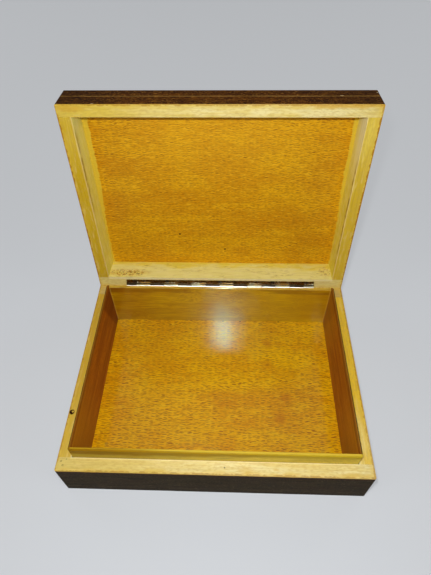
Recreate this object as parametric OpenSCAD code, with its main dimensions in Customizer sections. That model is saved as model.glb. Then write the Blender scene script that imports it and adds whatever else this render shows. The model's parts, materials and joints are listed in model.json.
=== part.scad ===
// Hinged wooden box with a proud inner lining and a piano hinge, its lid open on the stop.
// The origin is the centre of the underside: +X right, +Y to the hinge side, +Z up.
// Everything is in millimetres.

/* [Box] */
// Outside width, left to right
box_w = 220; // [190:1:320]
// Outside depth, front to back
box_d = 170; // [130:1:260]
// Height of the base, from its underside to its rim
base_h = 37; // [26:1:80]
// Height of the lid, from its rim to its outer face
lid_h = 24; // [21:1:50]
// Height of the lid's rim course, the rails next to the rim
rim_course_h = 13; // [12:0.5:16]
// Radius that eases the outside arrises
edge_r = 1.2; // [0.5:0.1:3]

/* [Walls] */
// Thickness of the base's front and side walls
wall_t = 10; // [7:0.5:16]
// Thickness of the base's back wall, which carries the hinge
back_wall_t = 11.5; // [10:0.5:18]

/* [Panels] */
// Thickness of the floor panel
floor_t = 2.5; // [2:0.5:6]
// Thickness of the lid panel
lid_panel_t = 2.5; // [2:0.5:6]
// Width of the rebate that a panel is let into
rebate_w = 5; // [3:0.5:6]

/* [Lining] */
// Thickness of the lining strips
lining_t = 2.5; // [1.6:0.1:4]
// How far the lining stands proud of the base's rim
lining_proud = 12.5; // [6:0.5:15]
// Least gap between the lining and the lid's walls while the lid closes
lining_gap = 0.4; // [0.3:0.1:1.5]
// Radius on the lining's top arrises
lining_edge_r = 0.7; // [0.3:0.1:0.75]
// Radius on the lining's outer upright corners
lining_corner_r = 1.5; // [0.5:0.1:2.4]

/* [Hinge] */
// Length of the piano hinge
hinge_len = 170; // [110:1:185]
// Spacing of the knuckles
knuckle_pitch = 12.7; // [8:0.1:20]
// Gap between one knuckle and the next
knuckle_gap = 0.3; // [0.2:0.05:0.6]
// Shortest cut knuckle allowed at an end of the hinge
least_end_knuckle = 4; // [2:0.5:6]
// Diameter of the hinge pin
pin_d = 2; // [1.6:0.1:2.4]
// Radial play between the pin and the rolled knuckles
pin_play = 0.05; // [0.02:0.01:0.1]
// Thickness of the hinge leaves
leaf_t = 0.9; // [0.6:0.1:1]
// Width of a leaf, from the pin's axis to its free edge
leaf_w = 7.2; // [7:0.1:8]
// Height of the slit where a rolled knuckle ends above its own leaf
roll_slit = 0.25; // [0.1:0.05:0.4]
// Distance of the pin's axis in from the box's back face
pin_inset = 1; // [0.6:0.1:1.4]
// Gap between the rims when the lid is closed
rim_gap = 0.3; // [0.2:0.1:0.6]
// Room between the hinge and the wood cut away for it
hinge_room = 0.3; // [0.2:0.1:0.5]
// Angle between the rims when the lid is open on its stop
open_angle = 95; // [91:1:110]
// Play left between the two stop bevels at that angle, in degrees
stop_play = 0.4; // [0.2:0.1:2]

/* [Hinge screws] */
// Diameter of a countersunk head
screw_head_d = 4.2; // [3.4:0.1:4.4]
// Diameter of the shank
screw_d = 2; // [1.6:0.1:2.3]
// Length of a screw, head and point included
screw_len = 9; // [6:0.5:10]
// Length of the point
screw_point = 2; // [1:0.1:3]
// Distance of the end screws from the ends of the hinge
screw_end = 7; // [4:0.5:12]
// Spacing between an end screw and the next one
screw_step = 30; // [15:1:36]
// Radial play of a screw in its leaf and its pilot hole
screw_play = 0.05; // [0.02:0.01:0.1]

/* [Hidden] */
$fn = 64;

// A cutter reaches this far past the face that it opens
over = 1;

// Hinge: the knuckle's bore and outside, and the cylinder of wood cut away round it
bore_r = pin_d / 2 + pin_play;
barrel_r = bore_r + leaf_t;
relief_r = barrel_r + hinge_room;
pin_y = box_d / 2 - pin_inset;
pin_z = base_h + rim_gap / 2;
bevel_angle = (open_angle + stop_play) / 2;

// Knuckles: whole ones in the middle, one cut knuckle at each end
whole_knuckles = floor((hinge_len - 2 * least_end_knuckle) / knuckle_pitch);
end_knuckle = (hinge_len - whole_knuckles * knuckle_pitch) / 2;
last_knuckle = whole_knuckles + 1;

// Screws: two near each end and one in the middle, on the flat of the leaf
outer_screw = hinge_len / 2 - screw_end;
screw_places = [-outer_screw, -outer_screw + screw_step, 0, outer_screw - screw_step, outer_screw];
screw_row = (leaf_w + barrel_r) / 2;

// Inside faces of the base's walls, which the lining stands against
in_x = box_w / 2 - wall_t;
front_in_y = -box_d / 2 + wall_t;
back_in_y = box_d / 2 - back_wall_t;

// The lid's front edge swings on a circle round the pin. The lining's rounded front
// corner reaches this much further out than its face does.
lining_reach = pin_y - front_in_y;
lining_top = lining_proud - rim_gap / 2;
corner_reach = norm([lining_reach - lining_edge_r, lining_top - lining_edge_r]) + lining_edge_r;
front_gap = lining_gap + corner_reach - lining_reach;

// Inside faces of the lid's rails
lid_in_x = in_x + lining_gap;
lid_front_in_y = front_in_y - front_gap;
lid_back_in_y = back_in_y + lining_gap;

base_colour = [0.17, 0.13, 0.10];
lid_colour = [0.25, 0.14, 0.07];
panel_colour = [0.78, 0.53, 0.12];
lining_colour = [0.57, 0.36, 0.09];
metal_colour = [0.78, 0.77, 0.74];

// ---- Shapes that several pieces share ----

// A block between two corners
module block(low, high) {
    translate(low)
        cube(high - low);
}

// Carries a shape drawn in the YZ plane along X, from one place to another
module along_x(from, to) {
    translate([from, 0, 0])
        rotate([90, 0, 90])
            linear_extrude(to - from)
                children();
}

// Carries a shape drawn in the XZ plane along Y, from one place to another
module along_y(from, to) {
    translate([0, to, 0])
        rotate([90, 0, 0])
            linear_extrude(to - from)
                children();
}

// A rectangle w wide that stands on the axis, with its two lower corners rounded
module standing_outline(w, h, r) {
    translate([-w / 2 + r, 0])
        square([w - 2 * r, h]);
    translate([-w / 2, r])
        square([w, h - r]);
    for (side = [-1, 1])
        translate([side * (w / 2 - r), r])
            circle(r);
}

// A rectangle with four round corners
module round_rectangle(w, d, r) {
    square([w - 2 * r, d], center = true);
    square([w, d - 2 * r], center = true);
    for (x = [-1, 1])
        for (y = [-1, 1])
            translate([x * (w / 2 - r), y * (d / 2 - r)])
                circle(r);
}

// A tray's outside: upright and lower arrises eased, the rim above left crisp
module eased_block(h) {
    intersection() {
        linear_extrude(h)
            round_rectangle(box_w, box_d, edge_r);
        along_y(-box_d / 2, box_d / 2)
            standing_outline(box_w, h, edge_r);
        along_x(-box_w / 2, box_w / 2)
            standing_outline(box_d, h, edge_r);
    }
}

// ---- Hinge, drawn round the pin's axis with its leaf towards -Y ----

function knuckle_start(i) =
    i == 0 ? -hinge_len / 2 : -hinge_len / 2 + end_knuckle + (i - 1) * knuckle_pitch;

function knuckle_end(i) =
    i == last_knuckle ? hinge_len / 2 : knuckle_start(i + 1) - knuckle_gap;

// Section through a rolled knuckle: the sheet leaves the flat at the bottom, goes round
// the pin and ends just above its own leaf
module rolled_section() {
    difference() {
        circle(barrel_r);
        circle(bore_r);
        translate([-barrel_r, -bore_r])
            square([barrel_r, roll_slit]);
    }
    translate([-leaf_w, -barrel_r])
        square([leaf_w, leaf_t]);
}

// The flat of a leaf, cut back where the other leaf's knuckles run
module leaf_flat() {
    block([-hinge_len / 2, -leaf_w, -barrel_r], [hinge_len / 2, -relief_r, -bore_r]);
}

// One leaf with every second knuckle, drilled and countersunk for its screws
module leaf(first) {
    difference() {
        union() {
            leaf_flat();
            for (i = [first : 2 : last_knuckle])
                along_x(knuckle_start(i), knuckle_end(i))
                    rolled_section();
        }
        for (x = screw_places)
            translate([x, -screw_row, -bore_r])
                screw_shape(screw_play);
    }
}

// A countersunk screw whose head is flush at z = 0, drawn larger all round by `play`
module screw_shape(play) {
    neck_r = screw_head_d / 2 - leaf_t;
    translate([0, 0, -leaf_t])
        cylinder(h = leaf_t, r1 = neck_r + play, r2 = screw_head_d / 2 + play);
    translate([0, 0, -screw_len + screw_point])
        cylinder(h = screw_len - screw_point - leaf_t / 2, r = screw_d / 2 + play);
    translate([0, 0, -screw_len])
        cylinder(h = screw_point, r1 = play, r2 = screw_d / 2 + play);
}

// The screws of one leaf
module screws() {
    for (x = screw_places)
        translate([x, -screw_row, -bore_r])
            screw_shape(0);
}

// Wood cut away for the hinge: a mortise for the leaf, a round relief for the barrel,
// pilot holes, and the bevel behind the pin that stops the open lid
module hinge_cuts() {
    room = hinge_len / 2 + hinge_room;
    block([-room, -leaf_w - hinge_room, -barrel_r], [room, 0, over]);
    along_x(-room, room)
        circle(relief_r);
    for (x = screw_places)
        translate([x, -screw_row, -bore_r])
            screw_shape(screw_play);
    rotate([-bevel_angle, 0, 0])
        block([-box_w / 2 - over, 0, 0], [box_w / 2 + over, box_d / 4, box_d / 4]);
}

// Places what is drawn round the pin's axis on the base
module at_pin() {
    translate([0, pin_y, pin_z])
        children();
}

// Turns the lid's side of the hinge, a mirror image of the base's, to the open position
module at_open_pin() {
    at_pin()
        rotate([-open_angle, 0, 0])
            mirror([0, 0, 1])
                children();
}

// ---- Base ----

// A straight strip of the base's wall, eased outside and rebated below for the floor
module base_strip(low, high) {
    difference() {
        intersection() {
            eased_block(base_h);
            block([low.x, low.y, 0], [high.x, high.y, base_h]);
        }
        floor_pocket(over);
    }
}

// The rebate that the floor panel fills, opened below by `more`
module floor_pocket(more) {
    block([-in_x - rebate_w, front_in_y - rebate_w, -more],
          [in_x + rebate_w, back_in_y + rebate_w, floor_t]);
}

module base_front_wall() {
    color(base_colour)
        base_strip([-box_w / 2, -box_d / 2], [box_w / 2, front_in_y]);
}

module base_back_wall() {
    color(base_colour)
        difference() {
            base_strip([-box_w / 2, back_in_y], [box_w / 2, box_d / 2]);
            at_pin()
                hinge_cuts();
        }
}

// The side walls are butted between the front and the back
module base_side_wall(side) {
    color(base_colour)
        mirror([side < 0 ? 1 : 0, 0, 0])
            base_strip([in_x, front_in_y], [box_w / 2, back_in_y]);
}

module floor_panel() {
    color(panel_colour)
        floor_pocket(0);
}

// ---- Lining ----

// What the four strips make together: a thin-walled ring with round outer corners
module lining_ring() {
    mid_y = (front_in_y + back_in_y) / 2;
    translate([0, mid_y, floor_t])
        linear_extrude(base_h + lining_proud - floor_t)
            round_rectangle(2 * in_x, back_in_y - front_in_y, lining_corner_r);
}

// Section of a strip, with its two top arrises rounded
module lining_section() {
    top = base_h + lining_proud;
    translate([0, top])
        mirror([0, 1])
            standing_outline(lining_t, top - floor_t, lining_edge_r);
}

// The front strip runs right across
module lining_front() {
    color(lining_colour)
        intersection() {
            lining_ring();
            translate([0, front_in_y + lining_t / 2, 0])
                along_x(-in_x, in_x)
                    lining_section();
        }
}

// The side strips run from the front strip to the back wall
module lining_side(side) {
    color(lining_colour)
        intersection() {
            lining_ring();
            translate([side * (in_x - lining_t / 2), 0, 0])
                along_y(front_in_y + lining_t, back_in_y)
                    lining_section();
        }
}

// The back strip is fitted between the side strips
module lining_back() {
    color(lining_colour)
        translate([0, back_in_y - lining_t / 2, 0])
            along_x(-in_x + lining_t, in_x - lining_t)
                lining_section();
}

// ---- Hinge pieces ----

module hinge_leaf_base() {
    color(metal_colour)
        at_pin()
            leaf(1);
}

module hinge_leaf_lid() {
    color(metal_colour)
        at_open_pin()
            leaf(0);
}

module hinge_pin() {
    color(metal_colour)
        at_pin()
            along_x(-hinge_len / 2, hinge_len / 2)
                circle(pin_d / 2);
}

module hinge_screws_base() {
    color(metal_colour)
        at_pin()
            screws();
}

module hinge_screws_lid() {
    color(metal_colour)
        at_open_pin()
            screws();
}

// ---- Lid, drawn closed with its rim at z = 0, then opened round the pin ----

module opened() {
    at_pin()
        rotate([-open_angle, 0, 0])
            translate([0, -pin_y, rim_gap / 2])
                children();
}

// A straight strip of the lid's wall between two heights, eased outside and rebated
// for the panel
module lid_strip(low, high, from, to) {
    difference() {
        intersection() {
            translate([0, 0, lid_h])
                mirror([0, 0, 1])
                    eased_block(lid_h);
            block([low.x, low.y, from], [high.x, high.y, to]);
        }
        lid_pocket(over);
    }
}

// The rebate that the lid panel fills, opened outwards by `more`
module lid_pocket(more) {
    block([-lid_in_x - rebate_w, lid_front_in_y - rebate_w, lid_h - lid_panel_t],
          [lid_in_x + rebate_w, lid_back_in_y + rebate_w, lid_h + more]);
}

module lid_front_rail(from, to) {
    color(lid_colour)
        opened()
            lid_strip([-box_w / 2, -box_d / 2], [box_w / 2, lid_front_in_y], from, to);
}

module lid_side_rail(side, from, to) {
    color(lid_colour)
        opened()
            mirror([side < 0 ? 1 : 0, 0, 0])
                lid_strip([lid_in_x, lid_front_in_y], [box_w / 2, lid_back_in_y], from, to);
}

module lid_back_rail(from, to) {
    color(lid_colour)
        difference() {
            opened()
                lid_strip([-box_w / 2, lid_back_in_y], [box_w / 2, box_d / 2], from, to);
            at_open_pin()
                hinge_cuts();
        }
}

module lid_panel() {
    color(panel_colour)
        opened()
            lid_pocket(0);
}

// ---- Output ----

base_front_wall();
base_back_wall();
base_side_wall(-1);  // base_left_wall
base_side_wall(1);  // base_right_wall
floor_panel();
lining_front();
lining_back();
lining_side(-1);  // lining_left
lining_side(1);  // lining_right
hinge_leaf_base();
hinge_pin();
hinge_screws_base();
lid_front_rail(0, rim_course_h);  // lid_rim_front
lid_back_rail(0, rim_course_h);  // lid_rim_back
lid_side_rail(-1, 0, rim_course_h);  // lid_rim_left
lid_side_rail(1, 0, rim_course_h);  // lid_rim_right
lid_front_rail(rim_course_h, lid_h);  // lid_top_front
lid_back_rail(rim_course_h, lid_h);  // lid_top_back
lid_side_rail(-1, rim_course_h, lid_h);  // lid_top_left
lid_side_rail(1, rim_course_h, lid_h);  // lid_top_right
lid_panel();
hinge_leaf_lid();
hinge_screws_lid();
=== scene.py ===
import math
import bmesh
import bpy
from mathutils import Matrix, Vector
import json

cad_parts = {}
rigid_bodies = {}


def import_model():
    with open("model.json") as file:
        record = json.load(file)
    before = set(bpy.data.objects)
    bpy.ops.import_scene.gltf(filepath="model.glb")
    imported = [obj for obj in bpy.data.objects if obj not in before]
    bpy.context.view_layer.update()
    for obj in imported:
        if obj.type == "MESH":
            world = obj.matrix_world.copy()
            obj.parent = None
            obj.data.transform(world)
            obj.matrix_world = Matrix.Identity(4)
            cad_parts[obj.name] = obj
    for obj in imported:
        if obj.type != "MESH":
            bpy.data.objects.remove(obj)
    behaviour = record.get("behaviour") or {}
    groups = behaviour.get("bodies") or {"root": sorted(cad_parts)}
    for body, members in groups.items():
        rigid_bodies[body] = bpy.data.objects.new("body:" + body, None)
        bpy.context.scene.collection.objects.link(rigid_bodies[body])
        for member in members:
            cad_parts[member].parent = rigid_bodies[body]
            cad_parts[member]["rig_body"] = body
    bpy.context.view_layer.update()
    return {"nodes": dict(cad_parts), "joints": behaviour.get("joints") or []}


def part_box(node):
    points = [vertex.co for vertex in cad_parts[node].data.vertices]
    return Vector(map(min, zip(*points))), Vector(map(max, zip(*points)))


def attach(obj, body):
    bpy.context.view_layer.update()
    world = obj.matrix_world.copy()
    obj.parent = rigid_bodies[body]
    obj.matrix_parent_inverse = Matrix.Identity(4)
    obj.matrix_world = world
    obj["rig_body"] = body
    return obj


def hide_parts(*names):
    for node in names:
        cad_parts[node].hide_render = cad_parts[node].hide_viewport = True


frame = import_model()
MM = 0.001

# ---- The table and the room ----
# The box stands open on a plain pale floor with a pale wall far behind it all round. They
# and the light are the studio's, and no part of the box.


def add(tree, kind, ins=(), **settings):
    """A shader node with its settings, its sockets filled with values or fed by other sockets."""
    node = tree.nodes.new(kind)
    for name, setting in settings.items():
        setattr(node, name, setting)
    for name, given in dict(ins).items():
        if isinstance(given, bpy.types.NodeSocket):
            tree.links.new(given, node.inputs[name])
        else:
            node.inputs[name].default_value = given
    return node


def value(tree, operation, *numbers):
    """One sum, done on numbers or sockets."""
    return add(tree, "ShaderNodeMath", dict(enumerate(numbers)), operation=operation).outputs[0]


def paint(r, g, b):
    """A colour as a paint chart gives it, from 0 to 255, turned into linear light."""
    linear = [(c / 255 / 12.92) if c <= 10 else ((c / 255 + 0.055) / 1.055) ** 2.4 for c in (r, g, b)]
    return (*linear, 1)


def material(name):
    made = bpy.data.materials.new(name)
    made.use_nodes = True
    made.node_tree.nodes.clear()
    return made


def keep(bm, name):
    """Stores a finished bmesh as an object at the origin."""
    mesh = bpy.data.meshes.new(name)
    bm.to_mesh(mesh)
    bm.free()
    made = bpy.data.objects.new(name, mesh)
    bpy.context.scene.collection.objects.link(made)
    return made


FLOOR_REACH, FLOOR_DROP = 4.0, 0.0001
BACKDROP_REACH, BACKDROP_H = 3.95, 1.6
bm = bmesh.new()
bmesh.ops.create_grid(bm, x_segments=1, y_segments=1, size=FLOOR_REACH)
bmesh.ops.translate(bm, verts=bm.verts, vec=(0, 0, -FLOOR_DROP))
studio_floor = keep(bm, "studio_floor")
bm = bmesh.new()
bmesh.ops.create_circle(bm, segments=64, radius=BACKDROP_REACH)
wall = bmesh.ops.extrude_edge_only(bm, edges=bm.edges[:])["geom"]
wall_top = [v for v in wall if isinstance(v, bmesh.types.BMVert)]
bmesh.ops.translate(bm, verts=wall_top, vec=(0, 0, BACKDROP_H))
backdrop = keep(bm, "backdrop")

# The floor and the wall look near white, and light the box no more than matt paint does.
GLOW = 0.45
floor_paint = material("studio_floor_paint")
t = floor_paint.node_tree
rays = add(t, "ShaderNodeLightPath").outputs
seen = value(t, "MAXIMUM", rays["Is Camera Ray"], rays["Is Glossy Ray"])
seen = value(t, "MAXIMUM", seen, rays["Is Transmission Ray"])
matt = add(t, "ShaderNodeBsdfDiffuse", {"Color": paint(196, 199, 203)}).outputs[0]
pale = add(t, "ShaderNodeEmission", {"Color": paint(240, 243, 247), "Strength": 1.0}).outputs[0]
mixed = add(t, "ShaderNodeMixShader", {0: value(t, "MULTIPLY", seen, GLOW), 1: matt, 2: pale}).outputs[0]
add(t, "ShaderNodeOutputMaterial", {"Surface": mixed})
for made in (studio_floor, backdrop):
    made.data.materials.append(floor_paint)

FILL = 0.092
room = bpy.data.worlds.new("room")
bpy.context.scene.world = room
room.use_nodes = True
room.node_tree.nodes.clear()
sky = add(room.node_tree, "ShaderNodeBackground", {"Color": (0.97, 0.98, 1.0, 1), "Strength": FILL})
add(room.node_tree, "ShaderNodeOutputWorld", {"Surface": sky.outputs["Background"]})
bpy.context.scene.view_settings.view_transform = "Standard"

# The camera looks down into the box from the front.
CAMERA_PLACE = Vector((10.01, -194.17, 362.35)) * MM
CAMERA_TURN, CAMERA_TILT, CAMERA_ROLL = 2.861, -49.53, 1.451
LENS = 29.3

camera_data = bpy.data.cameras.new("camera")
camera_data.lens = LENS
camera_data.sensor_width = 36
camera_data.clip_start = 0.01
camera = bpy.data.objects.new("camera", camera_data)
camera.matrix_world = (
    Matrix.Translation(CAMERA_PLACE)
    @ Matrix.Rotation(math.radians(CAMERA_TURN), 4, "Z")
    @ Matrix.Rotation(math.radians(CAMERA_TILT), 4, "X")
    @ Matrix.Rotation(math.radians(CAMERA_ROLL), 4, "Y")
    @ Matrix.Rotation(math.radians(90), 4, "X")
)
bpy.context.scene.collection.objects.link(camera)
bpy.context.scene.camera = camera

BOX_MIDDLE = Vector((0, 0, 0.05))
SOFT_BOX_W = 0.7


def lamp(name, place, width, watts):
    """A round soft box at a place, turned to face the middle of the box."""
    data = bpy.data.lights.new(name, "AREA")
    data.shape = "DISK"
    data.size = width
    data.energy = watts
    made = bpy.data.objects.new(name, data)
    made.location = place
    made.rotation_mode = "QUATERNION"
    made.rotation_quaternion = (BOX_MIDDLE - Vector(place)).to_track_quat("-Z", "Y")
    bpy.context.scene.collection.objects.link(made)


lamp("front_lamp", CAMERA_PLACE + Vector((-0.012, 0.018, 0.016)), 0.014, 0.9)
for side, place, watts in (
    ("left_box", (-1.15, -0.6, 0.6), 2.7),
    ("right_box", (1.15, -0.5, 0.6), 2.7),
    ("left_back_box", (-1.0, 0.75, 0.8), 1.6),
    ("right_back_box", (1.0, 0.75, 0.8), 1.6),
):
    lamp(side, place, SOFT_BOX_W, watts)

# ---- The base: four walls ----
# Light hardwood strips, butted at the corners and glued. The outside is stained almost
# black; the rim that meets the lid is bare under clear varnish, gone amber at its edges.


def surface(tree, ins):
    """The piece's own shader, wired to the material's output."""
    shader = add(tree, "ShaderNodeBsdfPrincipled", ins)
    add(tree, "ShaderNodeOutputMaterial", {"Surface": shader.outputs["BSDF"]})


def times(tree, *shares):
    """Several shares multiplied together."""
    made = shares[0]
    for share in shares[1:]:
        made = value(tree, "MULTIPLY", made, share)
    return made


def apart(tree, number, other):
    """How far two numbers lie from each other, either way round."""
    return value(tree, "ABSOLUTE", value(tree, "SUBTRACT", number, other))


def fade(tree, number, low, high):
    """0 up to low, 1 from high on, smooth between them; low may be above high."""
    ins = {"Value": number, "From Min": low, "From Max": high}
    return add(tree, "ShaderNodeMapRange", ins, interpolation_type="SMOOTHSTEP").outputs[0]


def between(tree, number, low, high, soft):
    """1 between two limits, 0 outside them, with soft ends."""
    past_low = fade(tree, number, low - soft, low + soft)
    return times(tree, past_low, fade(tree, number, high + soft, high - soft))


def blend(tree, under, over, *shares, how="MIX"):
    """One colour laid over another, as far as all the shares let it."""
    ins = {0: times(tree, *shares), 6: under, 7: over}
    return add(tree, "ShaderNodeMix", ins, data_type="RGBA", blend_type=how).outputs[2]


def mapped(tree, place, turn=(0, 0, 0), shift=(0, 0, 0), stretch=(1, 1, 1)):
    ins = {"Vector": place, "Rotation": turn, "Location": shift, "Scale": stretch}
    return add(tree, "ShaderNodeMapping", ins).outputs[0]


def per(*sizes):
    """The stretch that makes each of these lengths in millimetres count as one."""
    return tuple(1 / size for size in sizes)


def xyz(tree, here):
    return add(tree, "ShaderNodeSeparateXYZ", {"Vector": here}).outputs


def position(tree):
    """The place on the piece in millimetres."""
    here = add(tree, "ShaderNodeTexCoord").outputs["Object"]
    return mapped(tree, here, stretch=(1000, 1000, 1000))


def noise(tree, place, detail=2.0, rough=0.5):
    ins = {"Vector": place, "Scale": 1.0, "Detail": detail, "Roughness": rough}
    return add(tree, "ShaderNodeTexNoise", ins).outputs[0]


def relief(tree, height, strength, depth):
    ins = {"Height": height, "Strength": strength, "Distance": depth * MM}
    return add(tree, "ShaderNodeBump", ins).outputs["Normal"]


FLOAT, VECTOR, COLOUR = "NodeSocketFloat", "NodeSocketVector", "NodeSocketColor"
NOWHERE, ANY_WOOD = (0, 0, 0), (0.5, 0.5, 0.5, 1)


def effect(name, takes, gives):
    """An empty shader group with named sockets. Returns it, what comes in and where it goes out."""
    group = bpy.data.node_groups.new(name, "ShaderNodeTree")
    for label, kind, usual in takes:
        group.interface.new_socket(label, in_out="INPUT", socket_type=kind).default_value = usual
    for label, kind in gives:
        group.interface.new_socket(label, in_out="OUTPUT", socket_type=kind)
    return group, group.nodes.new("NodeGroupInput").outputs, group.nodes.new("NodeGroupOutput").inputs


def placed(tree, group, *given):
    """A shader group put into a material, or into another group, with the values it has there."""
    return add(tree, "ShaderNodeGroup", dict(enumerate(given)), node_tree=group).outputs


# Cloudy patches, 0 in some places and 1 in others.
cloudy, given, out = effect(
    "cloudy_patches",
    [
        ("Position", VECTOR, NOWHERE),
        ("Stretch", VECTOR, per(10, 10, 10)),
        ("Low", FLOAT, 0.4),
        ("High", FLOAT, 0.6),
        ("Detail", FLOAT, 2.0),
    ],
    [("Patches", FLOAT)],
)
cloud = noise(cloudy, mapped(cloudy, given["Position"], stretch=given["Stretch"]), given["Detail"])
cloudy.links.new(fade(cloudy, cloud, given["Low"], given["High"]), out["Patches"])


def patches(tree, here, size, low, high, detail=2.0):
    """Cloudy patches of one size in millimetres."""
    return placed(tree, cloudy, here, per(*size), low, high, detail)[0]


# Grain that any of the woods shows. The position is in millimetres, with the grain along X.
timber, spot, out = effect(
    "timber",
    [
        ("Position", VECTOR, NOWHERE),
        ("Fleck Length", FLOAT, 5.0),
        ("Fleck Width", FLOAT, 1.0),
        ("Band Width", FLOAT, 14.0),
        ("Wander", FLOAT, 2.0),
    ],
    [("Ripple", FLOAT), ("Fleck", FLOAT), ("Fibre", FLOAT), ("Band", FLOAT), ("Cloud", FLOAT)],
)
g = timber
bend = noise(g, mapped(g, spot["Position"], stretch=per(60, 40, 40)), 1)
lift = value(g, "MULTIPLY", value(g, "SUBTRACT", bend, 0.5), spot["Wander"])
parts = xyz(g, spot["Position"])
across = value(g, "ADD", parts[1], lift)


def grain_place(along, wide):
    """The place measured in strokes of one length and width."""
    ins = {}
    for axis, number, size in (("X", parts[0], along), ("Y", across, wide), ("Z", parts[2], wide)):
        ins[axis] = value(g, "DIVIDE", number, size)
    return add(g, "ShaderNodeCombineXYZ", ins).outputs[0]


ripple = noise(g, grain_place(spot["Fleck Length"], spot["Fleck Width"]), 1, 0.4)
band_length = value(g, "MULTIPLY", spot["Band Width"], 9.0)
for label, made in (
    ("Ripple", ripple),
    ("Fleck", fade(g, ripple, 0.42, 0.28)),
    ("Fibre", noise(g, grain_place(22.0, 0.7), 3, 0.6)),
    ("Band", noise(g, grain_place(band_length, spot["Band Width"]), 3, 0.55)),
    ("Cloud", noise(g, mapped(g, spot["Position"], stretch=per(40, 26, 26)), 2)),
):
    g.links.new(made, out[label])

# Bare varnished rim wood: cream or golden, amber where stain has crept in from the outer edge, with a painted
# highlight along the inner edge.
# Along is the place with the grain along X; Edge and Inner are the distances in millimetres
# from the wall's outer and inner face.
bare_rim, given, out = effect(
    "bare_rim",
    [
        ("Position", VECTOR, NOWHERE),
        ("Along", VECTOR, NOWHERE),
        ("Band", FLOAT, 0.5),
        ("Fibre", FLOAT, 0.5),
        ("Edge", FLOAT, 5.0),
        ("Inner", FLOAT, 5.0),
        ("Gold", COLOUR, ANY_WOOD),
        ("Cream", COLOUR, ANY_WOOD),
        ("Cream Share", FLOAT, 0.5),
        ("Worn", FLOAT, 0.45),
    ],
    [("Colour", COLOUR)],
)
g = bare_rim
here, along, edge, gold = given["Position"], given["Along"], given["Edge"], given["Gold"]
wood = blend(g, given["Cream"], gold, fade(g, given["Band"], 0.4, 0.65), 0.6)
wood = blend(g, gold, wood, given["Cream Share"])
wood = blend(g, wood, paint(190, 160, 95), fade(g, given["Fibre"], 0.45, 0.7), 0.3, how="MULTIPLY")
wood = blend(g, wood, gold, patches(g, along, (16, 4, 4), 0.42, 0.64, 3), 0.42)
wood = blend(g, wood, paint(208, 172, 84), patches(g, along, (3.2, 1.3, 1.3), 0.46, 0.64), 0.3)
wood = blend(g, wood, paint(255, 236, 160), patches(g, along, (12, 2.4, 2.4), 0.52, 0.72, 3), 0.25)
wobble = times(g, patches(g, here, (14, 14, 14), 0.35, 0.7), 2.6)
wood = blend(g, wood, paint(232, 196, 74), fade(g, value(g, "SUBTRACT", edge, wobble), 2.6, 0.0), 0.4)
wobble = times(g, patches(g, here, (3, 3, 3), 0.35, 0.65), 1.0)
crept = fade(g, value(g, "SUBTRACT", edge, wobble), 0.7, 0.2)
wood = blend(g, wood, paint(168, 100, 14), crept, given["Worn"])
# a pale line along the inner edge: a painted highlight
wood = blend(g, wood, paint(255, 244, 190), fade(g, given["Inner"], 1.4, 0.2), 0.5)
g.links.new(wood, out["Colour"])


def corners(node):
    """The low and the high corner of a CAD piece, in millimetres."""
    return [[round(c / MM, 2) for c in corner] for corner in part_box(node)]


wall_low, wall_high = corners("base_front_wall")
BOX_W, BOX_D, BASE_H = 2 * wall_high[0], -2 * wall_low[1], wall_high[2]
WALL_T = wall_high[1] - wall_low[1]
QUARTER = math.radians(90)
SAME_POINT = 0.002 * MM
SAME_FACE = math.radians(0.5)
SHARP = math.radians(40)
RAIL_EASE = 0.15


def solid_copy(node):
    """A copy of a CAD solid's mesh, its loose triangles joined into whole faces."""
    bm = bmesh.new()
    bm.from_mesh(frame["nodes"][node].data)
    bmesh.ops.remove_doubles(bm, verts=bm.verts, dist=SAME_POINT)
    bmesh.ops.dissolve_limit(bm, angle_limit=SAME_FACE, verts=bm.verts, edges=bm.edges)
    return bm


def stands_for(bm, node, finish):
    """Stores a copy, gives it its finish, and lets it ride and stand for its CAD piece."""
    made = keep(bm, node.replace("_", "-"))
    made.data.materials.append(finish)
    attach(made, frame["nodes"][node]["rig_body"])
    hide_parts(node)
    return made


def worked(node, ease, finish):
    """A wooden piece, its sharp arrises eased as sandpaper leaves them."""
    bm = solid_copy(node)
    sharp = [e for e in bm.edges if len(e.link_faces) == 2 and e.calc_face_angle() > SHARP]
    bmesh.ops.bevel(
        bm,
        geom=sharp,
        offset=ease * MM,
        affect="EDGES",
        segments=2,
        profile=0.5,
        material=-1,
        clamp_overlap=True,
    )
    for face in bm.faces:
        face.smooth = True
    made = stands_for(bm, node, finish)
    even = made.modifiers.new("even_normals", "WEIGHTED_NORMAL")
    even.keep_sharp = True


def distance_in(tree, number, half):
    """How far a place lies inside a side at plus or minus half."""
    return value(tree, "SUBTRACT", half, value(tree, "ABSOLUTE", number))


def edges_in(tree, here):
    """How far a place lies in from the nearer end of the box and from its front or back."""
    x, y, z = xyz(tree, here)
    return distance_in(tree, x, BOX_W / 2), distance_in(tree, y, BOX_D / 2)


def rail_wood(t, here, along_y, shift, wander, gold, cream, middle, reach, worn):
    """The grain of a wall or a rail, and the bare wood of its rim, which is cream for a reach
    to each side of a middle and golden beyond."""
    x, y, z = xyz(t, here)
    along = mapped(t, here, turn=(0, 0, QUARTER if along_y else 0), shift=shift)
    fig = placed(t, timber, along, 7.0, 0.9, 5.0, wander)
    edge = value(t, "MINIMUM", *edges_in(t, here))
    inner = value(t, "SUBTRACT", WALL_T, edge)
    share = fade(t, apart(t, y if along_y else x, middle), reach, reach * 0.35)
    rim = placed(t, bare_rim, here, along, fig["Band"], fig["Fibre"], edge, inner, gold, cream, share, worn)
    return fig, rim[0]


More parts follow.
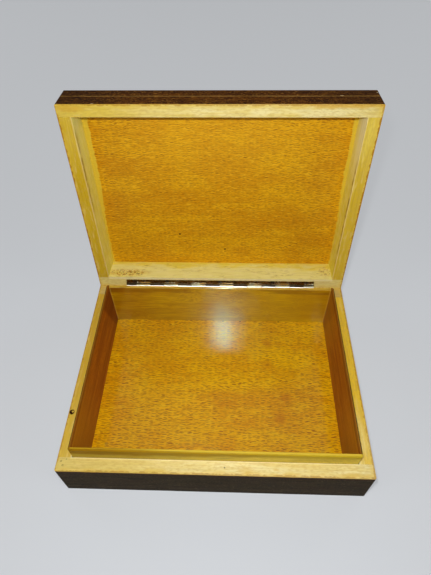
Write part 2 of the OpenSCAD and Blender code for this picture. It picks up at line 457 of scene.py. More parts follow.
def mark(tree, here, centre, reach, soft=0.25):
    """A round or oval mark at one place."""
    shift = tuple(-c / r for c, r in zip(centre, reach))
    inside = mapped(tree, here, shift=shift, stretch=per(*reach))
    away = add(tree, "ShaderNodeVectorMath", {0: inside}, operation="LENGTH").outputs["Value"]
    return fade(tree, away, 1 + soft, 1 - soft)


def ragged(tree, here, size, reach):
    """The same place pushed about a little, so that what is drawn there gets an uneven edge."""
    ins = {"Vector": here, "Scale": 1 / size, "Detail": 2.0}
    push = add(tree, "ShaderNodeTexNoise", ins).outputs["Color"]
    push = add(tree, "ShaderNodeVectorMath", {0: push, 1: (0.5, 0.5, 0.5)}, operation="SUBTRACT").outputs[0]
    push = add(tree, "ShaderNodeVectorMath", {0: push, "Scale": reach}, operation="SCALE").outputs[0]
    return add(tree, "ShaderNodeVectorMath", {0: here, 1: push}, operation="ADD").outputs[0]


def base_rim_marks(t, here, bare):
    """The marks of use on the rim: a dark ring at the left, specks, and golden wear at the front."""
    rough = ragged(t, here, 1.2, 0.9)
    disc = mark(t, rough, (-107.6, -41.2, BASE_H), (1.9, 1.9, 3))
    hole = mark(t, rough, (-107.0, -40.8, BASE_H), (0.75, 0.75, 3))
    bare = blend(t, bare, paint(48, 20, 8), value(t, "SUBTRACT", disc, hole))
    for x, y, long, wide, depth in (
        (7.3, -79.5, 0.55, 0.5, 0.85),
        (-106.8, -77.8, 0.7, 0.6, 0.5),
        (-105.1, -80.6, 0.9, 0.5, 0.45),
        (-103.3, -76.4, 0.6, 0.5, 0.4),
    ):
        bare = blend(t, bare, paint(95, 70, 25), mark(t, rough, (x, y, BASE_H), (long, wide, 3)), depth)
    wavy = ragged(t, here, 3, 3)
    for x, y, long, wide in ((22, -81.5, 5, 2.6), (43, -80.5, 2.2, 0.8), (98, -82.5, 10, 1.5)):
        bare = blend(t, bare, paint(226, 186, 70), mark(t, wavy, (x, y, BASE_H), (long, wide, 3), 0.6), 0.42)
    return bare


def base_stain(t, here, fig):
    """The near black stain of the outside, rubbed through a little along its arrises, with painted shade
    along the foot.
    """
    x, y, z = xyz(t, here)
    stain = blend(t, paint(66, 52, 22), paint(36, 26, 8), fade(t, fig["Fibre"], 0.35, 0.7))
    stain = blend(t, stain, paint(62, 42, 22), fade(t, fig["Band"], 0.4, 0.7), 0.5)
    stain = blend(t, stain, paint(70, 40, 16), fade(t, z, BASE_H - 6.0, BASE_H - 0.5), 0.55)
    stain = blend(t, stain, paint(110, 92, 66), patches(t, here, (1.6, 1.6, 1.6), 0.56, 0.7), 0.35)
    other = mapped(t, here, shift=(40, 0, 0))
    stain = blend(t, stain, paint(26, 20, 12), patches(t, other, (1.6, 1.4, 1.4), 0.52, 0.66), 0.6)
    ridge = times(t, between(t, z, 7.2, 8.4, 0.5), patches(t, here, (3, 3, 3), 0.35, 0.6))
    stain = blend(t, stain, paint(104, 88, 60), ridge, 0.35)
    # darker towards the bottom: painted shade along the foot
    stain = blend(t, stain, paint(34, 31, 24), fade(t, z, 7.0, 3.0), 0.3)
    corner = fade(t, value(t, "MAXIMUM", *edges_in(t, here)), 0.7, 0.1)
    arris = value(t, "MAXIMUM", corner, times(t, between(t, z, 1.2, 1.9, 0.5), 0.8))
    return blend(t, stain, paint(128, 92, 58), arris, patches(t, here, (2.2, 2.2, 2.2), 0.42, 0.62), 0.5)


def base_wall(name, along_y, gold, cream, middle, reach, seed):
    made = material(name)
    t = made.node_tree
    here = position(t)
    fig, bare = rail_wood(t, here, along_y, (0, seed, 7.0), 3.0, gold, cream, middle, reach, 0.45)
    on_rim = fade(t, xyz(t, here)[2], BASE_H - 0.16, BASE_H - 0.06)
    height = value(t, "ADD", fig["Fibre"], times(t, fig["Fleck"], -0.5))
    surface(
        t,
        {
            "Base Color": blend(t, base_stain(t, here, fig), base_rim_marks(t, here, bare), on_rim),
            "Roughness": value(t, "MULTIPLY_ADD", fig["Fibre"], 0.15, 0.42),
            "Specular IOR Level": 0.025,
            "Normal": relief(t, height, 0.5, 0.05),
        },
    )
    return made


for node, along_y, gold, cream, middle, reach, seed in (
    ("base_front_wall", False, paint(232, 208, 118), paint(250, 236, 174), 45, 130, 0),
    ("base_back_wall", False, paint(215, 185, 105), paint(225, 200, 130), 0, 60, 60),
    ("base_left_wall", True, paint(222, 180, 58), paint(228, 194, 80), -60, 60, 120),
    ("base_right_wall", True, paint(246, 206, 60), paint(253, 236, 158), -85, 60, 180),
):
    finish = base_wall("stained_" + node, along_y, gold, cream, middle, reach, seed)
    worked(node, RAIL_EASE, finish)

# ---- The floor panel ----
# One thin board of beech let into a rebate under the walls, its flecks running along the
# box, under a golden varnish that has sunk into the grain.
PANEL_T = corners("floor_panel")[1][2]
THIN_EASE = 0.1
RAY_HALF = 0.42
VARNISH_IOR, VARNISH_TINT = 1.69, (0.63, 1.0, 0.94, 1)

# The rays that beech shows: rows of thin lens-shaped strokes, one to a cell, and the paler
# wood above and below each. The stretches measure a cell, a ray and its pale surroundings.
beech_rays, given, out = effect(
    "beech_rays",
    [
        ("Position", VECTOR, NOWHERE),
        ("Shift", VECTOR, NOWHERE),
        ("Cell Stretch", VECTOR, per(5, 2, 1)),
        ("Ray Stretch", VECTOR, per(0.5, 0.2, 1)),
        ("Pale Stretch", VECTOR, per(0.5, 0.5, 1)),
    ],
    [("Rays", FLOAT), ("Pale", FLOAT)],
)
g = beech_rays
x, y, z = xyz(g, given["Position"])
warp = noise(g, mapped(g, given["Position"], stretch=per(15, 9, 1)), 2)
y = value(g, "MULTIPLY_ADD", value(g, "SUBTRACT", warp, 0.5), 5.0, y)
cell = add(g, "ShaderNodeCombineXYZ", {"X": x, "Y": y}).outputs[0]
cell = mapped(g, cell, shift=given["Shift"], stretch=given["Cell Stretch"])
ins = {"Vector": cell, "Scale": 1.0, "Randomness": 0.8}
near = add(g, "ShaderNodeTexVoronoi", ins, voronoi_dimensions="2D")
away = add(g, "ShaderNodeVectorMath", {0: cell, 1: near.outputs["Position"]}, operation="SUBTRACT").outputs[0]
depth = add(g, "ShaderNodeSeparateColor", {"Color": near.outputs["Color"]}).outputs[0]
depth = value(g, "MULTIPLY_ADD", depth, 0.75, 0.25)
for label, stretch, outer, core in (
    ("Rays", given["Ray Stretch"], 1.12, 0.68),
    ("Pale", given["Pale Stretch"], 1.15, 0.5),
):
    reach = add(g, "ShaderNodeVectorMath", {0: mapped(g, away, stretch=stretch)}, operation="LENGTH")
    g.links.new(times(g, fade(g, reach.outputs["Value"], outer, core), depth), out[label])


def rays_in(t, here, long, row, half_high, shift):
    """Beech rays in cells of one length and height; half_high is a ray's half height in its cell."""
    half_pale = half_high * 2.8
    stretches = [(1 / x, 1 / y, 0) for x, y in ((long, row), (RAY_HALF, half_high), (RAY_HALF, half_pale))]
    return placed(t, beech_rays, here, shift, *stretches)


def beech(t, here, light, amber, dark, pale, shift, scale, depth):
    """Beech under golden varnish: its colour, the height of its grain and its figure."""
    fig = placed(t, timber, mapped(t, here, shift=shift), 6.0, 1.2, 16.0, 6.0)
    colour = blend(t, light, amber, fade(t, fig["Cloud"], 0.4, 0.66), 0.55)
    colour = blend(t, colour, amber, fade(t, fig["Band"], 0.46, 0.66), 0.45)
    wave = noise(t, mapped(t, here, shift=shift, stretch=per(6.5 * scale, 1.3 * scale, 1)), 2)
    colour = blend(t, colour, dark, fade(t, wave, 0.46, 0.3), depth * 0.35)
    colour = blend(t, colour, pale, fade(t, wave, 0.52, 0.7), depth * 0.6)
    first = rays_in(t, here, 5.0 * scale, 1.8 * scale, 0.175, (shift[0], shift[1], 0))
    second = rays_in(t, here, 3.6 * scale, 1.45 * scale, 0.185, (shift[0] + 9.3, shift[1] + 4.7, 0))
    colour = blend(t, colour, pale, first["Pale"], depth * 0.5)
    colour = blend(t, colour, dark, second["Rays"], depth * 0.75)
    colour = blend(t, colour, dark, first["Rays"], depth)
    colour = blend(t, colour, dark, fade(t, fig["Fibre"], 0.45, 0.7), 0.12)
    return colour, value(t, "MULTIPLY_ADD", first["Rays"], -0.6, wave), fig


def floor_finish():
    made = material("varnished_beech_floor")
    t = made.node_tree
    here = position(t)
    x, y, z = xyz(t, here)
    light = blend(t, paint(249, 190, 8), paint(255, 200, 10), fade(t, x, 10, 90))
    amber, dark, pale = paint(230, 154, 3), paint(148, 36, 0), paint(255, 211, 38)
    colour, height, fig = beech(t, here, light, amber, dark, pale, (0, 0, 0), 1.0, 0.9)
    # darker resin spots, and dirt caught along the back
    soft = ragged(t, here, 6, 5)
    for place_x, place_y, reach, depth in (
        (43.9, 46.5, 3.5, 0.5),
        (42.1, 24.2, 4, 0.35),
        (56.7, -8.4, 3.4, 0.45),
        (51.5, -26.3, 3.4, 0.5),
        (5.7, -15.9, 2.5, 0.3),
        (-52, 34, 14, 0.25),
    ):
        resin = mark(t, soft, (place_x, place_y, PANEL_T), (reach * 1.2, reach, 4), 0.7)
        colour = blend(t, colour, paint(196, 106, 14), resin, depth)
    rough = ragged(t, here, 0.8, 0.6)
    for place_x, place_y in ((3.1, 70.4), (19.3, 70.5), (55.5, 70.8), (-100, 18)):
        dirt = mark(t, rough, (place_x, place_y, PANEL_T), (0.7, 0.7, 2))
        colour = blend(t, colour, paint(60, 30, 10), dirt, 0.85)
    # the underside is plain dull beech
    beneath = fade(t, z, 0.9, 0.6)
    plain = blend(t, paint(196, 158, 112), paint(222, 188, 142), fade(t, fig["Ripple"], 0.36, 0.64))
    plain = blend(t, plain, paint(150, 104, 66), fade(t, height, 0.35, 0.0))
    # the varnish is satin in short streaks along the grain
    satin = patches(t, here, (4.0, 1.8, 4), 0.42, 0.58)
    surface(
        t,
        {
            "Base Color": blend(t, colour, plain, beneath),
            "Roughness": value(t, "MULTIPLY_ADD", beneath, 0.4, value(t, "MULTIPLY_ADD", satin, 0.05, 0.095)),
            "IOR": VARNISH_IOR,
            "Specular IOR Level": 1.0,
            "Specular Tint": VARNISH_TINT,
            "Normal": relief(t, height, 0.8, 0.11),
        },
    )
    return made


worked("floor_panel", THIN_EASE, floor_finish())

# ---- The lining ----
# Four thin strips stand inside the walls and rise above the rim, to locate the lid. They
# are varnished a golden brown; the top arrises are rubbed round and lighter, and on the
# side strips the pale top line is a painted highlight and the dark outer arris a painted shadow.
strip_low, strip_high = corners("lining_front")
LINING_T, LINING_TOP = strip_high[1] - strip_low[1], strip_high[2]
HOLLOW_X, HOLLOW_Y = BOX_W / 2 - WALL_T, BOX_D / 2 - WALL_T


def fixed(tree, direction):
    """One direction for the whole piece, along which its sheen is drawn out."""
    return add(tree, "ShaderNodeCombineXYZ", dict(zip("XYZ", direction))).outputs[0]


def brow(t, x):
    """The brown along the front strip's upper half, paler to the right."""
    left = blend(t, paint(157, 114, 12), paint(187, 148, 24), fade(t, x, -90, 0))
    return blend(t, left, paint(206, 174, 36), fade(t, x, -10, 80))


def strip_top(t, here, fig, top, line):
    """A strip's top edge, with a pale line along it: rubbed on the front strip, a painted highlight on the
    side strips.
    top gives its colour, that of the line and that of the outer arris, which is a painted shadow on the side
    strips. Without it the edge is the front strip's, brown like its face."""
    x, y, z = xyz(t, here)
    if top:
        wood, rubbed_wear_and_painted_highlight, arris = top
        wide = 0.75
    else:
        wood = arris = brow(t, x)
        rubbed_wear_and_painted_highlight = blend(t, paint(192, 152, 32), paint(228, 198, 66), fade(t, x, -70, -25))
        wide = value(t, "MULTIPLY_ADD", fade(t, x, -70, 30), 0.9, 0.75)
    from_wall = value(t, "MINIMUM", distance_in(t, x, HOLLOW_X), distance_in(t, y, HOLLOW_Y))
    inner = value(t, "SUBTRACT", LINING_T, from_wall)
    colour = blend(t, wood, paint(120, 84, 20), fade(t, fig["Fibre"], 0.4, 0.65), 0.6)
    colour = blend(t, colour, rubbed_wear_and_painted_highlight, fade(t, apart(t, inner, line), wide, 0.2), 0.95)
    # the outer arris: on the side strips its dark colour is a painted shadow
    return blend(t, colour, arris, fade(t, inner, 1.8, 2.1))


def dress_front(t, here, colour, fig):
    """The front strip: pale gold below and brown above a wavering line; the pale gold is painted light
    bounced up from the rim, and the dark band at its foot a painted contact shadow.
    """
    x, y, z = xyz(t, here)
    face = blend(t, paint(200, 172, 56), paint(240, 213, 82), fade(t, x, -90, 50))
    face = blend(t, face, paint(168, 134, 36), fade(t, fig["Fibre"], 0.4, 0.66), 0.4)
    face = blend(t, face, paint(176, 144, 40), patches(t, here, (30, 8, 6), 0.42, 0.66), 0.3)
    wobble = times(t, patches(t, here, (16, 4, 4), 0.3, 0.7), 2.0)
    # the pale gold below the wavering line is painted light, bounced up from the bright rim
    low = value(t, "MULTIPLY_ADD", fade(t, x, -60, 70), 3.0, BASE_H + 5.0)
    upper = fade(t, value(t, "SUBTRACT", value(t, "ADD", z, wobble), low), 0.0, 3.6)
    face = blend(t, face, brow(t, x), upper)
    # a dark band at the foot: a painted contact shadow
    return blend(t, face, paint(130, 100, 14), fade(t, z, BASE_H + 1.0, BASE_H + 0.1), 0.6)


def dress_back(t, here, colour, fig):
    """The back strip: redder at both ends, with a dark stretch along its upper part."""
    x, y, z = xyz(t, here)
    off_middle = value(t, "ABSOLUTE", x)
    heart = value(t, "MAXIMUM", fade(t, x, -45, -88), fade(t, x, 38, 90))
    colour = blend(t, colour, paint(164, 90, 12), heart, patches(t, here, (45, 9, 9), 0.3, 0.6), 0.45)
    colour = blend(t, colour, paint(222, 176, 8), fade(t, x, 10, 50), 0.3)
    shade = between(t, z, BASE_H + 6.0, BASE_H + 12.0, 1.2)
    shade = times(t, shade, patches(t, here, (50, 9, 9), 0.36, 0.56))
    colour = blend(t, colour, paint(134, 72, 10), shade, fade(t, off_middle, 8, 30), 0.6)
    strip_end = HOLLOW_X - LINING_T
    return blend(t, colour, paint(222, 178, 70), fade(t, off_middle, strip_end - 1.3, strip_end - 0.6), 0.6)


def dress_side(t, here, colour, fig):
    """A side strip: streaked, with painted shade in the back corner, and paler towards the front."""
    x, y, z = xyz(t, here)
    to_right = fade(t, x, -50, 50)
    colour = blend(t, colour, paint(122, 60, 10), patches(t, here, (4, 60, 5), 0.5, 0.68), 0.45)
    colour = blend(t, colour, paint(120, 58, 10), patches(t, here, (2, 1.2, 9), 0.45, 0.7), 0.15)
    colour = blend(t, colour, paint(184, 134, 26), to_right, fade(t, y, 15, 60), 0.45)
    # darker in the back corner above a slanting line: painted shade
    corner = fade(t, value(t, "MULTIPLY_ADD", z, 0.36, y), 62.0, 66.0)
    colour = blend(t, colour, paint(104, 46, 8), corner, value(t, "MULTIPLY_ADD", to_right, -0.4, 0.6))
    return blend(t, colour, paint(192, 134, 20), fade(t, y, -5, -72), 0.5)


def lining(name, turn, light, dark, seed, top, line, dress, rough, gloss, brushed):
    """A strip's finish. line is how far the pale line, rubbed on the front strip and a painted highlight on
    the side strips, lies from the inner arris.
    """
    made = material(name)
    t = made.node_tree
    here = position(t)
    fig = placed(t, timber, mapped(t, here, turn=(0, 0, turn), shift=(0, 0, seed)), 9.0, 0.8, 7.0, 26.0)
    colour = blend(t, light, dark, fade(t, fig["Band"], 0.36, 0.68), 0.6)
    colour = blend(t, colour, dark, fade(t, fig["Fibre"], 0.44, 0.62), 0.7)
    colour = dress(t, here, colour, fig)
    on_top = fade(t, xyz(t, here)[2], LINING_TOP - 0.75, LINING_TOP - 0.25)
    ins = {
        "Base Color": blend(t, colour, strip_top(t, here, fig, top, line), on_top),
        "Roughness": value(t, "MULTIPLY_ADD", fig["Fibre"], 0.03, rough),
        "IOR": VARNISH_IOR,
        "Specular IOR Level": gloss,
        "Specular Tint": VARNISH_TINT,
        "Normal": relief(t, fig["Fibre"], 0.5, 0.1),
    }
    if brushed:
        # glossy varnish with a fine orange peel, satin here and there
        peel = noise(t, mapped(t, here, stretch=per(1.8, 1.8, 1.8)), 1)
        ins["Anisotropic"] = 0.82
        ins["Tangent"] = fixed(t, (0, 0, 1))
        ins["Roughness"] = value(t, "MULTIPLY_ADD", fade(t, peel, 0.42, 0.58), 0.06, rough)
        ins["Normal"] = relief(t, peel, 0.6, 0.1)
    surface(t, ins)
    return made


front_wood = (paint(214, 184, 70), paint(190, 156, 50))
back_wood = (paint(218, 170, 6), paint(168, 115, 3))
back_top = (paint(224, 180, 60), paint(228, 190, 62), paint(200, 164, 60))
left_wood = (paint(180, 107, 19), paint(144, 77, 13))
# side strip tops: their wood, a pale painted highlight line, and a dark painted shadow at the outer arris
left_top_wood_and_painted_light = (paint(124, 66, 10), paint(150, 102, 30), paint(62, 34, 6))
right_wood = (paint(183, 112, 20), paint(145, 80, 14))
right_top_wood_and_painted_light = (paint(124, 66, 10), paint(158, 110, 34), paint(30, 14, 4))
for side, turn, wood, seed, top, line, dress, rough, gloss, brushed in (
    ("front", 0, front_wood, 40, None, 0.75, dress_front, 0.35, 0.04, False),
    ("back", 0, back_wood, 80, back_top, 0.6, dress_back, 0.1, 1.0, True),
    ("left", QUARTER, left_wood, 120, left_top_wood_and_painted_light, 1.7, dress_side, 0.5, 0.03, False),
    ("right", QUARTER, right_wood, 160, right_top_wood_and_painted_light, 1.7, dress_side, 0.5, 0.03, False),
):
    node = "lining_" + side
    finish = lining("varnished_" + node, turn, *wood, seed, top, line, dress, rough, gloss, brushed)
    worked(node, THIN_EASE, finish)

# ---- The piano hinge ----
# Two leaves of nickelled steel rolled round one pin, let into both rims and held by
# countersunk screws. The leaves have gone brown and dark; the knuckles are rubbed bright.
hinge = frame["joints"][0]
PIN = Vector(hinge["pos_m"]) / MM
OPEN_ANGLE = math.radians(hinge["range_deg"][1])
KNUCKLE_IN, KNUCKLE_OUT = 2.05, 2.35


def nickel(name, rubbed, low, high):
    """The finish of one leaf. Its knuckles are rubbed bright between two heights above the pin's
    axis and all the way down behind it, and dark elsewhere: dirt in the slit on the lid's knuckles,
    painted shade under the band on the base's."""
    made = material(name)
    t = made.node_tree
    here = position(t)
    off_pin = mapped(t, here, shift=(0, -PIN.y, -PIN.z), stretch=(0, 1, 1))
    away = add(t, "ShaderNodeVectorMath", {0: off_pin}, operation="LENGTH").outputs["Value"]
    knuckle = fade(t, away, KNUCKLE_OUT, KNUCKLE_IN)
    behind, above = xyz(t, off_pin)[1:]
    bright = value(t, "MAXIMUM", fade(t, above, low - 0.12, low + 0.12), fade(t, behind, 0.5, 0.8))
    bright = times(t, bright, fade(t, above, high + 0.12, high - 0.12))
    dull = patches(t, here, (9, 5, 5), 0.46, 0.62, 3)
    scratches = patches(t, here, (6, 0.15, 0.15), 0.35, 0.7, 2)
    leaf = blend(t, paint(186, 146, 84), paint(232, 224, 205), dull)
    leaf = blend(t, leaf, paint(46, 28, 14), patches(t, here, (1.2, 1.0, 1.0), 0.52, 0.66), 0.7)
    # knuckles outside the rubbed band: dirt on the lid leaf, painted shade on the base leaf
    dirt_and_painted_shade = blend(t, paint(96, 76, 48), paint(60, 44, 26), patches(t, here, (3, 3, 3), 0.4, 0.6))
    leaf_rough = value(t, "MULTIPLY_ADD", dull, -0.1, 0.34)
    surface(
        t,
        {
            "Base Color": blend(t, leaf, blend(t, dirt_and_painted_shade, rubbed, bright), knuckle),
            "Metallic": 1.0,
            "Roughness": value(t, "MAXIMUM", times(t, knuckle, 0.34), leaf_rough),
            "Anisotropic": 0.7,
            "Tangent": fixed(t, (1, 0, 0)),
            "Normal": relief(t, scratches, 0.3, 0.01),
        },
    )
    return made


base_leaf_finish = nickel("rubbed_nickel_base_leaf", paint(238, 246, 224), 0.9, 3.0)
lid_leaf_finish = nickel("rubbed_nickel_lid_leaf", paint(250, 250, 232), -3.0, 1.76)
for node, finish in (
    ("hinge_leaf_base", base_leaf_finish),
    ("hinge_leaf_lid", lid_leaf_finish),
    ("hinge_pin", base_leaf_finish),
):
    part = frame["nodes"][node]
    part.data.materials.clear()
    part.data.materials.append(finish)

# The screws have a cross recess, punched into each flat head.
HEAD_REACH, HEAD_AREA = 2.2, 9.0
SLOT_HALF, SLOT_REACH, SLOT_DEEP, SLOT_TAPER = 0.28, 1.05, 0.55, 0.75
FIRST_TURN, NEXT_TURN = 17, 41
screw_steel = material("dulled_screw_steel")
t = screw_steel.node_tree
here = position(t)
dulled = patches(t, here, (1.2, 1.2, 1.2), 0.4, 0.65)
surface(
    t,
    {
        "Base Color": blend(t, paint(172, 164, 148), paint(112, 92, 70), dulled),
        "Metallic": 1.0,
        "Roughness": value(t, "MULTIPLY_ADD", noise(t, mapped(t, here, stretch=(2, 2, 2))), 0.2, 0.22),
        "Normal": relief(t, noise(t, mapped(t, here, stretch=(4, 4, 4))), 0.3, 0.02),
    },
)


def head_faces(bm, middle, up):
    """The faces that make up one screw's flat head."""
    tops = [f for f in bm.faces if f.normal.dot(up) > 0.99]
    return [f for f in tops if (f.calc_center_median() - middle).length < HEAD_REACH * MM]


def punch_recess(bm, middle, up, turn):
    """Cuts a cross recess, turned by so many degrees, into one head."""
    turned = Matrix.Rotation(math.radians(turn), 3, up)
    arms = [turned @ arm for arm in (Vector((1, 0, 0)), up.cross(Vector((1, 0, 0))))]
    for arm in arms:
        for step in (-SLOT_REACH, -SLOT_HALF, SLOT_HALF, SLOT_REACH):
            head = head_faces(bm, middle, up)
            # a dict holds each edge and corner once, in an order that is the same each run
            around = [part for f in head for part in (*f.edges, *f.verts)]
            geom = list(dict.fromkeys(head + around))
            bmesh.ops.bisect_plane(bm, geom=geom, plane_co=middle + arm * (step * MM), plane_no=arm)
    cross = []
    for f in head_faces(bm, middle, up):
        near, far = sorted(abs((f.calc_center_median() - middle).dot(arm)) / MM for arm in arms)
        if near < SLOT_HALF and far < SLOT_REACH:
            cross.append(f)
    sunk = bmesh.ops.extrude_face_region(bm, geom=cross)["geom"]
    bottom = [v for v in sunk if isinstance(v, bmesh.types.BMVert)]
    down = up * (SLOT_DEEP * MM)
    bmesh.ops.translate(bm, verts=bottom, vec=-down)
    bmesh.ops.delete(bm, geom=cross, context="FACES_ONLY")
    taper = (SLOT_TAPER, SLOT_TAPER, SLOT_TAPER)
    bmesh.ops.scale(bm, verts=bottom, vec=taper, space=Matrix.Translation(down - middle))


for node, up in (
    ("hinge_screws_base", Vector((0, 0, 1))),
    ("hinge_screws_lid", Matrix.Rotation(-OPEN_ANGLE, 3, "X") @ Vector((0, 0, -1))),
):
    bm = solid_copy(node)
    heads = [f for f in bm.faces if f.normal.dot(up) > 0.99 and f.calc_area() > HEAD_AREA * MM * MM]
    for number, middle in enumerate([f.calc_center_median() for f in heads]):
        punch_recess(bm, middle, up, FIRST_TURN + NEXT_TURN * number)
    bmesh.ops.recalc_face_normals(bm, faces=bm.faces)
    stands_for(bm, node, screw_steel)

# ---- The lid: rim course and top course ----
# Two frames of rails, glued one on the other. The rim and the inside are bare under clear
# varnish, the outside is stained dark brown, with a pale line of glue between the courses.
RIM_GAP = 0.3
LID_RIM = BASE_H + RIM_GAP
LID_H = 24.0
RIM_COURSE = 13.0
LID_TOP = LID_RIM + LID_H


def closed_position(tree):
    """The place on the lid in millimetres, as it is when the lid is shut."""
    shift = PIN - Matrix.Rotation(OPEN_ANGLE, 3, "X") @ PIN
    return mapped(tree, position(tree), turn=(OPEN_ANGLE, 0, 0), shift=tuple(shift))


# The dark brown of the lid's outside, golden where the grain shows through.
lid_stain, given, out = effect(
    "lid_stain",
    [("Position", VECTOR, NOWHERE), ("Band", FLOAT, 0.5), ("Fibre", FLOAT, 0.5)],
    [("Colour", COLOUR)],
)
g = lid_stain
here = given["Position"]
stain = blend(g, paint(117, 66, 13), paint(57, 28, 3), fade(g, given["Fibre"], 0.34, 0.7))
stain = blend(g, stain, paint(66, 35, 11), fade(g, given["Band"], 0.42, 0.62), 0.5)
gold = times(g, patches(g, here, (5, 1.2, 1.2), 0.5, 0.64, 3), patches(g, here, (30, 20, 20), 0.36, 0.56))
stain = blend(g, stain, paint(166, 106, 30), gold, 0.5)
stain = blend(g, stain, paint(34, 15, 4), patches(g, here, (1.5, 0.9, 0.9), 0.54, 0.66), 0.75)
other = mapped(g, here, shift=(50, 0, 0))
stain = blend(g, stain, paint(176, 118, 44), patches(g, other, (1.4, 0.9, 0.9), 0.56, 0.68), 0.6)
to_ends = fade(g, value(g, "ABSOLUTE", xyz(g, here)[0]), 45, 108)
g.links.new(blend(g, stain, paint(40, 22, 8), to_ends, 0.42), out["Colour"])


def long_rail_marks(t, here, bare):
    """The rim of a front or back rail: arched figure at the right, golden at both ends."""
    turned = mapped(t, here, turn=(0, 0, 0.25), stretch=(0.06, 0.5, 0))
    arch = add(t, "ShaderNodeTexWave", {"Vector": turned, "Scale": 1.2, "Distortion": 3.0, "Detail": 1.0})
    lines = times(t, fade(t, arch.outputs[1], 0.75, 0.95), mark(t, here, (84, -80, LID_RIM), (18, 6, 4), 0.5))
    bare = blend(t, bare, paint(170, 150, 110), lines, 0.12)
    wavy = ragged(t, here, 4, 4)
    for x, y, long, wide in ((85, -84, 26, 1.6), (-100, -82, 9, 2.2)):
        bare = blend(t, bare, paint(220, 165, 50), mark(t, wavy, (x, y, LID_RIM), (long, wide, 3), 0.5), 0.5)
    return bare


def side_hollow(t, here, y, up, wood, yellow, pale, olive):
    """The inside of a side rail: paler towards the lid's front, yellow by the panel, with an
    olive stain along the rim between two places."""
    hollow = blend(t, wood, pale, fade(t, y, 0, -78))
    hollow = blend(t, hollow, yellow, fade(t, up, 7, 19), 0.6)
    low, high = olive
    streak = times(t, fade(t, up, 6.5, 0.5), between(t, y, low, high, 9))
    hollow = blend(t, hollow, paint(192, 162, 46), streak, patches(t, here, (4, 14, 3), 0.3, 0.56), 0.75)
    core = times(t, fade(t, apart(t, up, 2.4), 1.9, 0.3), between(t, y, low + 10, high - 8, 9))
    return blend(t, hollow, paint(146, 108, 26), core, patches(t, here, (3, 5, 2), 0.36, 0.6), 0.6)


def long_hollow(t, here, up, wood, yellow):
    """The inside of a front or back rail: yellow by the panel, with brown cracks, and soiled in
    the back corners."""
    wobble = times(t, patches(t, here, (30, 9, 6), 0.3, 0.7), 8.0)
    hollow = blend(t, wood, yellow, fade(t, value(t, "ADD", up, wobble), 16, 22))
    crack = times(t, patches(t, here, (5, 0.8, 0.7), 0.58, 0.66, 3), patches(t, here, (22, 9, 9), 0.42, 0.56))
    hollow = blend(t, hollow, paint(160, 134, 70), crack, 0.5)
    left = mark(t, here, (-87, 74, LID_RIM + 6.3), (20, 9, 4.5), 0.4)
    right = mark(t, here, (96, 74, LID_RIM + 11.7), (5, 9, 8), 0.4)
    soiled = value(t, "MAXIMUM", left, times(t, right, 0.5))
    hollow = blend(t, hollow, paint(236, 206, 54), soiled, 0.45)
    hollow = blend(t, hollow, paint(196, 136, 12), soiled, patches(t, here, (2.2, 1.5, 1.5), 0.5, 0.62), 0.8)
    other = mapped(t, here, shift=(0, 30, 0))
    return blend(t, hollow, paint(66, 34, 6), soiled, patches(t, other, (1.4, 1.2, 1.2), 0.6, 0.68), 0.9)


def lid_outside(t, here, fig):
    """The stained outside, with the line of glue between the courses and chips at the arrises."""
    x, y, z = xyz(t, here)
    stain = placed(t, lid_stain, here, fig["Band"], fig["Fibre"])[0]
    glue = fade(t, apart(t, z, LID_RIM + RIM_COURSE), 0.42, 0.15)
    stain = blend(t, stain, paint(214, 166, 84), glue, patches(t, here, (16, 16, 16), 0.26, 0.5), 0.85)
    corner = fade(t, value(t, "MAXIMUM", *edges_in(t, here)), 0.7, 0.1)
    arris = value(t, "MAXIMUM", fade(t, z, LID_RIM + 0.6, LID_RIM + 0.1), corner)
    chip = times(t, arris, patches(t, here, (2.4, 2.4, 2.4), 0.6, 0.68))
    stain = blend(t, stain, paint(214, 186, 130), chip, 0.85)
    rough = ragged(t, here, 1, 0.7)
    for x, up, long, high in (
        (83.7, 13.8, 1.3, 0.5),
        (95.6, 23.3, 0.7, 0.5),
        (108.4, 18.8, 0.5, 0.7),
        (-84.3, 0.9, 1.0, 0.5),
    ):
        chip = mark(t, rough, (x, -BOX_D / 2, LID_RIM + up), (long, 1, high))
        stain = blend(t, stain, paint(216, 190, 140), chip, 0.8)
    return stain


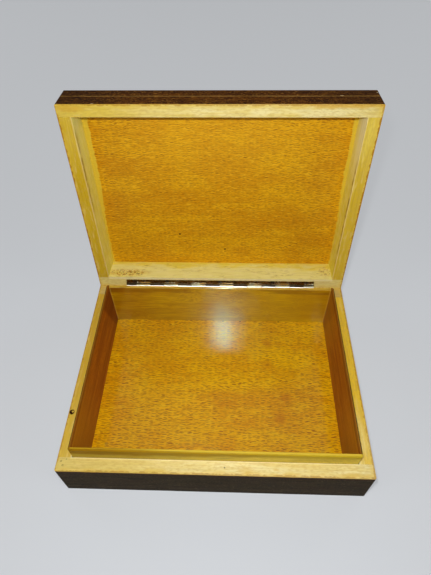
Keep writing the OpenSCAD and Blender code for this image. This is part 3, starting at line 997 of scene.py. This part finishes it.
def lid_rail(name, along_y, rim, inside, olive, seed):
    """A rail's finish. rim gives its gold, its cream, and where the cream lies and how far it
    reaches; inside gives its wood, its yellow by the panel and its pale wood at the front."""
    made = material(name)
    t = made.node_tree
    here = closed_position(t)
    x, y, z = xyz(t, here)
    up = value(t, "SUBTRACT", z, LID_RIM)
    worn = 0.7 if along_y else 0.45
    fig, bare = rail_wood(t, here, along_y, (seed, seed * 0.37, seed), 4.0, *rim, worn)
    if along_y:
        hollow = side_hollow(t, here, y, up, *inside, olive)
    else:
        bare = long_rail_marks(t, here, bare)
        hollow = long_hollow(t, here, up, *inside[:2])
    hollow = blend(t, hollow, paint(200, 180, 120), fade(t, fig["Fibre"], 0.42, 0.7), 0.3, how="MULTIPLY")
    hollow = blend(t, hollow, paint(250, 240, 170), patches(t, here, (9, 9, 4), 0.44, 0.66, 3), 0.3)
    wobble = times(t, patches(t, here, (5, 5, 5), 0.3, 0.7), 1.2)
    panel_low = LID_TOP - PANEL_T
    pooled = fade(t, value(t, "ADD", z, wobble), panel_low - 2.2, panel_low - 0.6)
    hollow = blend(t, hollow, paint(238, 214, 60), pooled, 0.35)
    edge = value(t, "MINIMUM", *edges_in(t, here))
    outside = value(t, "MAXIMUM", fade(t, edge, 4.2, 4.0), fade(t, z, LID_TOP - 0.3, LID_TOP - 0.2))
    colour = blend(t, hollow, lid_outside(t, here, fig), outside)
    on_rim = fade(t, z, LID_RIM + 0.16, LID_RIM + 0.06)
    surface(
        t,
        {
            "Base Color": blend(t, colour, bare, on_rim),
            "Roughness": value(t, "MULTIPLY_ADD", fig["Fibre"], 0.15, 0.4),
            "Specular IOR Level": 0.018,
            "Normal": relief(t, fig["Fibre"], 0.5, 0.05),
        },
    )
    return made


front_rim = (paint(232, 203, 84), paint(251, 236, 168), 35, 120)
back_rim = (paint(236, 217, 128), paint(242, 228, 160), 0, 140)
left_rim = (paint(212, 174, 36), paint(230, 198, 72), -90, 60)
right_rim = (paint(222, 186, 52), paint(240, 212, 88), -90, 80)
long_inside = (paint(246, 238, 150), paint(244, 228, 92))
left_inside = (paint(236, 227, 104), paint(238, 228, 92), paint(240, 238, 140))
right_inside = (paint(238, 224, 84), paint(240, 226, 80), paint(252, 248, 196))
for course, seed in (("rim", 210), ("top", 300)):
    for side, along_y, rim, inside, olive in (
        ("front", False, front_rim, long_inside, None),
        ("back", False, back_rim, long_inside, None),
        ("left", True, left_rim, left_inside, (-66, 6)),
        ("right", True, right_rim, right_inside, (-40, 58)),
    ):
        node = f"lid_{course}_{side}"
        finish = lid_rail("stained_" + node, along_y, rim, inside, olive, seed)
        worked(node, RAIL_EASE, finish)

# ---- The lid panel ----
# A thin beech board let into the lid's outer face: golden varnish inside, and the same
# dark brown stain as the rails outside.
panel_finish = material("varnished_beech_lid")
t = panel_finish.node_tree
here = closed_position(t)
x, y, z = xyz(t, here)
light, amber, dark, pale = paint(233, 175, 18), paint(209, 140, 12), paint(140, 46, 0), paint(250, 204, 44)
colour, height, fig = beech(t, here, light, amber, dark, pale, (37, 11, 90), 0.86, 0.8)
sunned = times(t, fade(t, y, 10, -72), fade(t, value(t, "ABSOLUTE", value(t, "ADD", x, 5.0)), 95, 20))
colour = blend(t, colour, paint(246, 196, 50), sunned, 0.2)
# varnish pooled at both ends, widening towards the lid's front
wide = value(t, "MULTIPLY_ADD", fade(t, y, 40, -25), 2.4, 0.7)
wide = value(t, "ADD", wide, times(t, patches(t, here, (5, 5, 5), 0.35, 0.65), 0.8))
wide = value(t, "SUBTRACT", wide, times(t, fade(t, x, -50, 50), 1.2))
pool = fade(t, value(t, "SUBTRACT", distance_in(t, x, HOLLOW_X), wide), 0.6, -0.4)
colour = blend(t, colour, paint(226, 200, 64), pool, 0.8)
# two dark spots
rough = ragged(t, here, 0.8, 0.5)
for place_x, place_y in ((-35.4, 40.6), (4.4, 57.3)):
    speck = mark(t, rough, (place_x, place_y, LID_TOP - PANEL_T), (0.85, 0.85, 2))
    colour = blend(t, colour, paint(44, 18, 4), speck)
outside = fade(t, z, LID_TOP - 1.4, LID_TOP - 1.2)
surface(
    t,
    {
        "Base Color": blend(t, colour, placed(t, lid_stain, here, fig["Band"], fig["Fibre"])[0], outside),
        "Roughness": value(t, "MULTIPLY_ADD", fig["Fibre"], 0.1, 0.32),
        "Specular IOR Level": 0.15,
        "Normal": relief(t, height, 0.7, 0.1),
    },
)
worked("lid_panel", THIN_EASE, panel_finish)
